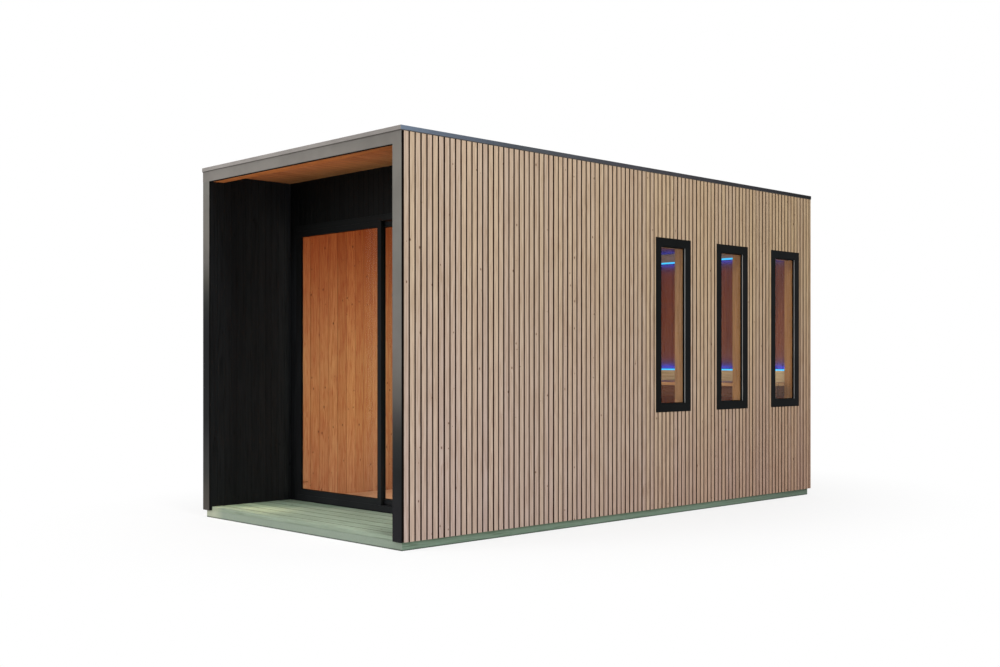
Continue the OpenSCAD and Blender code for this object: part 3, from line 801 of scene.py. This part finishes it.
def felt_material():
    """Mineral roof felt: dense small grains between two greys, with pale dusty patches."""
    material, tree, shader = new_material("mineral roof felt")
    place = own_place(tree)
    grains = add(tree, "ShaderNodeTexVoronoi", Vector=place, Scale=420.0).outputs
    chance = add(tree, "ShaderNodeSeparateColor", Color=grains["Color"]).outputs
    mixed = blended(tree, chance[0], colour(44, 46, 48), colour(92, 94, 96))
    patches = noise(tree, place, scale=1.6, detail=5.0, roughness=0.6)
    dust = ramp_between(tree, patches, 0.5, 0.8, to_high=0.35)
    set_inputs(tree, shader, Base_Color=blended(tree, dust, mixed, colour(128, 124, 116)),
               Roughness=0.9,
               Normal=bump(tree, grains["Distance"], strength=0.6, distance=0.001))
    return material


def show(tree, share, first, second):
    """Gives the material's output two shaders mixed by a share."""
    mix = add(tree, "ShaderNodeMixShader", _0=share, _1=first.outputs[0], _2=second.outputs[0])
    set_inputs(tree, tree.nodes["Material Output"], Surface=mix.outputs[0])


def glazing(name, refraction):
    """Clear glass: lamp rays pass straight through, so that the room behind is lit."""
    material, tree, shader = new_material(name)
    set_inputs(tree, shader, Base_Color=(0.93, 0.97, 0.96, 1), Roughness=0.0, IOR=refraction,
               Transmission_Weight=1.0)
    clear = add(tree, "ShaderNodeBsdfTransparent", Color=(0.9, 0.93, 0.92, 1))
    show(tree, add(tree, "ShaderNodeLightPath").outputs["Is Shadow Ray"], shader, clear)
    return material


def light_strip_material():
    """A lit strip: bright blue, with the faint paler dots of its lamps."""
    material, tree, shader = new_material("lit blue strip")
    lamp_pitch = 0.0167
    along = parts_of(tree, own_place(tree))[X]
    dots = maths(tree, "SINE", maths(tree, "MULTIPLY", along, 2 * math.pi / lamp_pitch))
    lit = blended(tree, ramp_between(tree, dots, -1.0, 1.0), colour(20, 172, 255),
                  colour(60, 208, 255))
    set_inputs(tree, shader, Emission_Color=lit, Emission_Strength=1.3,
               Base_Color=(0.05, 0.1, 0.15, 1))
    return material


FELT = felt_material()
GLASS = glazing("clear glazing", 1.14)
DOOR_GLASS = glazing("clear coated glazing", 1.08)
LIGHT = light_strip_material()

# The finish of each of the frame's slots, and of the nodes that don't take their slot's.
BY_SLOT = {"treated_timber": BEARER, "pine_boards": PINE_BEAM, "portal_metal": METAL,
           "insulated_panel": PANEL, "dark_boards": BLACK, "batten_wood": PALE,
           "roof_membrane": FELT, "frame_metal": FRAME, "clear_glass": GLASS,
           "light_strip": LIGHT}
BY_NODE = {"roof_deck": EDGE, "portal_post_left": LEFT_POST, "portal_post_right": RIGHT_POST,
           "door_handles": HANDLE, "door_sash_glass": DOOR_GLASS,
           "door_fixed_glass": DOOR_GLASS, "bench_frame": BENCH_FRAME,
           **dict.fromkeys(WINDOWS, WINDOW_FRAME)}


def dress_frame():
    """Gives each node of the frame its own finish, or that of its slot."""
    for part in frame["record"]["subparts"]:
        finishes = frame["nodes"][part["node"]].data.materials
        finishes.clear()
        finishes.append(BY_NODE.get(part["node"], BY_SLOT[part["material_slot"]]))


dress_frame()


# ---------------------------------------------------------------- cladding

# The battens' clearance round a window frame, how far the frame's face ring reaches
# inwards, and the thickness of the boards behind it.
WINDOW_FIT, WINDOW_FACE, REVEAL = 0.002, 0.060, 0.018
# The battens' width and rounding, and their number along the sides and the rear.
BATTEN_W, BATTEN_ARRIS = 0.0365, 0.002
BATTENS_ALONG = {Y: 96, X: 49}


def holes_at(margin):
    """The window frames' outlines in Y and Z, grown by a margin."""
    found = []
    for name in WINDOWS:
        low, high = span(name)
        found.append((low[Y] - margin, high[Y] + margin, low[Z] - margin, high[Z] + margin))
    return found


def batten_wall(name, node, across, out, side, holes=(), corners=False):
    """Upright battens over the node's block, with their gaps, cut round the holes.

    A strip's rounding is no more than a third of its width. With corners, the outer sides
    of the two end battens show the pale timber instead of the painted groove shade, because
    they are the building's corners."""
    low, high = span(node)
    count = BATTENS_ALONG[across]
    pitch = (high[across] - low[across] - BATTEN_W) / (count - 1)
    shape = laid(low, high, across, out, side, count,
                 lambda w, t: eased(w, t, np.minimum(BATTEN_ARRIS, w / 3), 3),
                 gap=pitch - BATTEN_W, holes=holes, play=0.0012, sink=0.0006)
    if corners:
        place, marks = shape[0][:, across], shape[2]
        marks["face"][np.isclose(place, low[across]) | np.isclose(place, high[across])] = 1
    mesh_piece(name, shape, PALE, replaces=[node])


batten_wall("battens_right", "cladding_right", Y, X, 1, holes_at(WINDOW_FIT))
batten_wall("battens_left", "cladding_left", Y, X, -1)
batten_wall("battens_rear", "cladding_rear", X, Y, 1, corners=True)


# ---------------------------------------------------------------- porch

# Widths of the porch's dark boards, of soffit and room boards, and of floor boards.
DARK_W, LINING_W, FLOOR_W = 0.057, 0.085, 0.11


def board_wall(low, high, across, out, side, width, edge=0.002, holes=()):
    """Boards of about one width that fill the block from low to high. A bevel of the
    edge's size on both sides of each joint makes a groove between them."""
    count = max(1, round((high[across] - low[across]) / width))
    return laid(low, high, across, out, side, count, lambda w, t: eased(w, t, edge, 2),
                holes=holes, sink=0.0003)


porch_low, porch_high = span("porch_lining")
soffit_low, soffit_high = span("porch_soffit")
porch_height = (porch_low[Z], porch_high[Z])
beside = (porch_low[Y], soffit_high[Y])
door_x, door_z = reach("door_frame", X), reach("door_frame", Z)
doorway = [(*door_x, 0.0, door_z[1])]
left_side = block((porch_low[X], soffit_low[X]), beside, porch_height)
right_side = block((soffit_high[X], porch_high[X]), beside, porch_height)
back = block((porch_low[X], porch_high[X]), (soffit_high[Y], porch_high[Y]), porch_height)
mesh_piece("porch_boards", joined(board_wall(*left_side, Y, X, 1, DARK_W),
                                  board_wall(*right_side, Y, X, -1, DARK_W),
                                  board_wall(*back, X, Y, -1, DARK_W, holes=doorway)),
           BLACK, replaces=["porch_lining"])

mesh_piece("soffit_boards", board_wall(soffit_low, soffit_high, X, Z, -1, LINING_W),
           SOFFIT, replaces=["porch_soffit"])
beam_low, beam_high = span("front_beam")
mesh_piece("front_beam_planed", bar_between(beam_low, beam_high, X, radius=0.002, tone=0.3),
           FRONT_BEAM, replaces=["front_beam"])

# Deck planks of one width with gaps, counted from the narrower one in front; the last is
# cut to fit.
DECK_W, DECK_GAP, DECK_FRONT_W = 0.1155, 0.005, 0.0865
deck_low, deck_high = span("deck_boards")
plank_ends = np.arange(deck_low[Y] + DECK_FRONT_W, deck_high[Y] - DECK_GAP + DECK_W,
                       DECK_W + DECK_GAP)
planks = [block((deck_low[X], deck_high[X]),
                (max(deck_low[Y], end - DECK_W), min(end, deck_high[Y])),
                (deck_low[Z], deck_high[Z])) for end in plank_ends]
mesh_piece("deck_planks", joined(bars(planks[:1], X, radius=0.003),
                                 bars(planks[1:], X, radius=0.004, flanked=True)),
           GREEN, replaces=["deck_boards"])


# ---------------------------------------------------------------- room

# Radius of the edges of boards that close a gap, and the box that the room's lining fills.
ARRIS = 0.001
shell_low, shell_high = span("lining_left")[0], span("lining_rear")[1]


def room_lining(name, node, across, out, side, holes=(), extra=()):
    """Boards over one side of the room, within the box of its lining, with extra shapes.

    A node that reaches out of that box also holds window reveals or a jamb board."""
    low, high = span(node)
    shape = board_wall(np.maximum(low, shell_low), np.minimum(high, shell_high), across, out,
                       side, LINING_W, holes=holes)
    mesh_piece(name, joined(shape, *extra), PINE, replaces=[node])


def reveals():
    """Four boards round each window opening, flush with the room's boards."""
    deep = (span("lining_right")[0][X], span("wall_right")[1][X])
    uprights, levels = [], []
    for left, right, bottom, top in holes_at(-WINDOW_FACE):
        uprights += [block(deep, wide, (bottom - REVEAL, top + REVEAL))
                     for wide in ((left - REVEAL, left), (right, right + REVEAL))]
        levels += [block(deep, (left, right), tall)
                   for tall in ((bottom - REVEAL, bottom), (top, top + REVEAL))]
    return joined(bars(uprights, Z, ARRIS), bars(levels, Y, ARRIS))


jamb_board = bars([block((door_x[0], reach("door_fixed_leaf", X)[0]), reach("lining_front", Y),
                         reach("door_fixed_leaf", Z))], Z, ARRIS)
room_lining("room_boards_left", "lining_left", Y, X, 1)
room_lining("room_boards_right", "lining_right", Y, X, -1, holes_at(REVEAL - WINDOW_FACE))
mesh_piece("window_reveals", reveals(), REVEAL_BOARD)
room_lining("room_boards_rear", "lining_rear", X, Y, -1)
room_lining("room_boards_front", "lining_front", X, Y, 1, doorway, [jamb_board])
room_lining("ceiling_boards", "ceiling_lining", X, Z, -1)

floor_low, floor_high = span("room_floor")
floor_thick = (floor_low[Z], floor_high[Z])
threshold = bars([block(door_x, (floor_low[Y], shell_low[Y]), floor_thick)], X, ARRIS)
room = block((floor_low[X], floor_high[X]), (shell_low[Y], floor_high[Y]), floor_thick)
mesh_piece("floor_boards", joined(board_wall(*room, X, Z, 1, FLOOR_W, edge=0.001), threshold),
           PALE_FLOOR, replaces=["room_floor"])

# The bench's slats: their number, the gap between them and the rounding of their edges.
SLATS, SLAT_GAP, SLAT_ARRIS = 6, 0.010, 0.005
slats = laid(*span("bench_top"), Y, Z, 1, SLATS, lambda w, t: rounded(w, t, SLAT_ARRIS),
             gap=SLAT_GAP, flanked=False)
mesh_piece("bench_slats", slats, ASPEN, replaces=["bench_top"])

# The upper rail is stepped at its top, where it carries the upper strip.
rail_x, rail_y = (rail_low[X], rail_high[X]), (rail_low[Y], rail_high[Y])
step = rail_high[Y] - STRIP
rails = [block(rail_x, rail_y, (rail_low[Z], lower_top)),
         block(rail_x, (rail_y[0], step), (upper_low, rail_high[Z])),
         block(rail_x, (step, rail_y[1]), (upper_low, rail_high[Z] - STRIP))]
mesh_piece("light_rail_timbers", bars(rails, X, radius=0.0025), RAIL_BOARD,
           replaces=["light_rails"])


# ---------------------------------------------------------------- roof edge, roof and gaskets

# The trim's sheet: its thickness, the width of its upper flange and the bend's radius.
SHEET, FLANGE, FOLD = 0.002, 0.060, 0.0025
trim_low, trim_high = span("roof_trim")
bend = np.linspace(0, np.pi / 2, 4)
outer_bend = np.c_[FOLD - FOLD * np.cos(bend), trim_high[Z] - FOLD + FOLD * np.sin(bend)]
trim_profile = [(0, trim_low[Z]), *outer_bend, (FLANGE, trim_high[Z]),
                (FLANGE, trim_high[Z] - SHEET), (SHEET, trim_high[Z] - SHEET),
                (SHEET, trim_low[Z])]
mesh_piece("roof_edge_sheet", framed(trim_profile, trim_low, trim_high, Z), TRIM,
           replaces=["roof_trim"])

# The felt's laps: width and thickness, the distance from lap to lap, and the least
# distance of the first and the last from the roof's ends. They stop at the trim's flange.
LAP, LAP_T, ROLL, FIRST_LAP, LAST_LAP = 0.08, 0.0012, 0.92, 0.9, 0.3
felt_low, felt_high = span("roof_membrane")
laps = [block((felt_low[X] + FLANGE, felt_high[X] - FLANGE), (y, y + LAP),
              (felt_high[Z], felt_high[Z] + LAP_T))
        for y in np.arange(felt_low[Y] + FIRST_LAP, felt_high[Y] - LAST_LAP, ROLL)]
mesh_piece("felt_laps", bars(laps, X, radius=0.0005), FELT)


def gasket(low, high, out, level, side, width=0.004, height=0.003):
    """A bead round a pane: half an ellipse of that width and height, which stands on the
    plane at level and rises towards side."""
    turn = np.linspace(0, np.pi, 6)
    d = width / 2 - width / 2 * np.cos(turn)
    v = level + side * height * np.sin(turn)
    return framed(np.c_[d, v], low, high, out)


def window_beads():
    """A bead on the outer face of each window pane, along its frame's face ring."""
    shapes = []
    for name, pane in zip(WINDOWS, PANES):
        low, high = span(name)
        shapes.append(gasket(low + WINDOW_FACE, high - WINDOW_FACE, X, reach(pane, X)[1], 1,
                             width=0.005, height=0.004))
    return joined(*shapes)


def pane_beads(pane):
    """Beads on both faces of a door pane."""
    low, high = span(pane)
    return joined(gasket(low, high, Y, low[Y], -1), gasket(low, high, Y, high[Y], 1))


# Black strips: a square one under the beam behind the fascia, which also stands in for the shade
# line under the fascia, and a seal under the door's sill that starts as far below the deck's top
# and keeps a clearance to the room's floor.
SEAL, SEAL_FIT = 0.005, 0.001
fascia_back = reach("portal_fascia", Y)[1]
sill_seal = (reach("door_frame", Y)[0], floor_low[Y] - SEAL_FIT)
seals_and_shade_strip = [block((beam_low[X], beam_high[X]), (fascia_back, fascia_back + SEAL),
               (beam_low[Z] - SEAL, beam_low[Z])),
         block(door_x, sill_seal, (deck_high[Z] - SEAL, door_z[0]))]
mesh_piece("window_gaskets", window_beads(), RUBBER)
mesh_piece("porch_seals_and_shade_strip", bars(seals_and_shade_strip, X, ARRIS), RUBBER)
mesh_piece("fixed_pane_gaskets", pane_beads("door_fixed_glass"), RUBBER)
mesh_piece("sash_pane_gaskets", pane_beads("door_sash_glass"), RUBBER, DOOR)


# ---------------------------------------------------------------- stage, lamps and camera

def background_rays(tree):
    """1 for rays that show the surround: seen straight, mirrored or through glass."""
    path = add(tree, "ShaderNodeLightPath").outputs
    mirrored = maths(tree, "MAXIMUM", path["Is Glossy Ray"], path["Is Transmission Ray"])
    return maths(tree, "MAXIMUM", path["Is Camera Ray"], mirrored)


def stage_floor():
    """A pale floor that fades to the white backdrop away from the cabin."""
    material, tree, shader = new_material("pale floor")
    set_inputs(tree, shader, Base_Color=(0.86, 0.86, 0.86, 1), Roughness=0.9,
               Specular_IOR_Level=0.0)
    far = vectors(tree, "LENGTH", vectors(tree, "MULTIPLY", own_place(tree), (1, 0.7, 0)))
    fade = ramp_between(tree, far, 1.2, 3.2, to_low=0.75)
    white = add(tree, "ShaderNodeEmission", Color=(1, 1, 1, 1), Strength=1.0)
    show(tree, maths(tree, "MULTIPLY", fade, background_rays(tree)), shader, white)
    half = 40.0
    mesh = bpy.data.meshes.new("floor")
    mesh.from_pydata([(-half, -half, 0), (half, -half, 0), (half, half, 0), (-half, half, 0)],
                     [], [(0, 1, 2, 3)])
    mesh.materials.append(material)
    floor = new_object("floor", mesh)


def studio_world(level):
    """An even white surround for light, and plain white behind the cabin."""
    world = bpy.data.worlds.new("studio")
    bpy.context.scene.world = world
    world.use_nodes = True
    tree = world.node_tree
    strength = add(tree, "ShaderNodeMapRange", Value=background_rays(tree), To_Min=level,
                   To_Max=1.0).outputs[0]
    set_inputs(tree, tree.nodes["Background"], Color=(1, 1, 1, 1), Strength=strength)


def area_lamp(name, place, target, size, power, tint=(1, 1, 1), length=None, spread=180):
    """A soft lamp that only gives light: it isn't seen itself, in glass or in metal.

    It is a disk, or a rectangle if it has a length; spread is its beam's angle in degrees."""
    lamp = bpy.data.lights.new(name, "AREA")
    lamp.shape = "RECTANGLE" if length else "DISK"
    lamp.size = size
    if length:
        lamp.size_y = length
    lamp.energy = power
    lamp.color = tint
    lamp.spread = math.radians(spread)
    holder = new_object(name, lamp)
    holder.location = place
    holder.rotation_euler = Vector(np.subtract(target, place)).to_track_quat("-Z", "Y").to_euler()
    holder.visible_camera = False
    holder.visible_glossy = False
    holder.visible_transmission = False


def downlight(name, place, **settings):
    """A lamp that shines straight down on the porch."""
    area_lamp(name, place, (place[X], place[Y], 0.0), **settings)


def blue_wash(level, way):
    """The blue light of a strip on the rear wall, upwards for way 1 and downwards for -1.

    The lamp stands 20 mm off the wall, 4 mm past the strip, and aims 100 mm past it."""
    wall = rail_high[Y]
    area_lamp(f"blue_wash_{level:.2f}", (0, wall - 0.02, level + way * 0.004),
              (0, wall, level + way * 0.1), size=2.0, power=8.0, tint=(0.01, 0.05, 1.0),
              length=0.015)


def camera():
    """Eye-level view of the front right corner, level, with a small upward shift."""
    data = bpy.data.cameras.new("camera")
    data.sensor_width = 36.0
    data.lens = 43.63
    data.shift_y = 0.0279
    data.clip_end = 200.0
    holder = new_object("camera", data)
    holder.location = (6.610, -6.710, 1.1134)
    holder.rotation_euler = (math.pi / 2, 0, math.radians(46.0))
    bpy.context.scene.camera = holder


WARM = (1.0, 0.87, 0.72)
stage_floor()
studio_world(0.60)
area_lamp("key", (5.2, -3.4, 8.6), (0.6, -1.2, 0.6), size=1.6, power=340)
area_lamp("front_fill", (-2.5, -8.0, 3.0), (0, -2, 1.0), size=4.0, power=240)
area_lamp("room_side", (0.75, -0.95, 0.95), (-1.0, -0.95, 0.85), size=0.9, length=1.5,
          power=33, tint=WARM)
area_lamp("room_front", (0.2, -1.1, 1.2), (0.2, 2.0, 1.1), size=1.4, length=1.6, power=24,
          tint=WARM)
blue_wash(lower_top + STRIP, 1)
blue_wash(upper_low - STRIP, -1)
blue_wash(rail_high[Z], 1)
downlight("sun_patch", (-0.80, -2.01, 1.1), size=0.8, length=0.22, power=0.72,
          tint=(1.0, 0.82, 0.55), spread=25)
downlight("door_patch", (-0.5, -1.70, 1.0), size=0.9, length=0.18, power=0.27,
          tint=(1.0, 0.97, 0.9), spread=35)
downlight("porch_fill", (0.55, -1.78, 1.9), size=1.0, length=0.5, power=1.6,
          tint=(1, 1, 0.97), spread=50)
camera()
bpy.context.scene.view_settings.view_transform = "Standard"
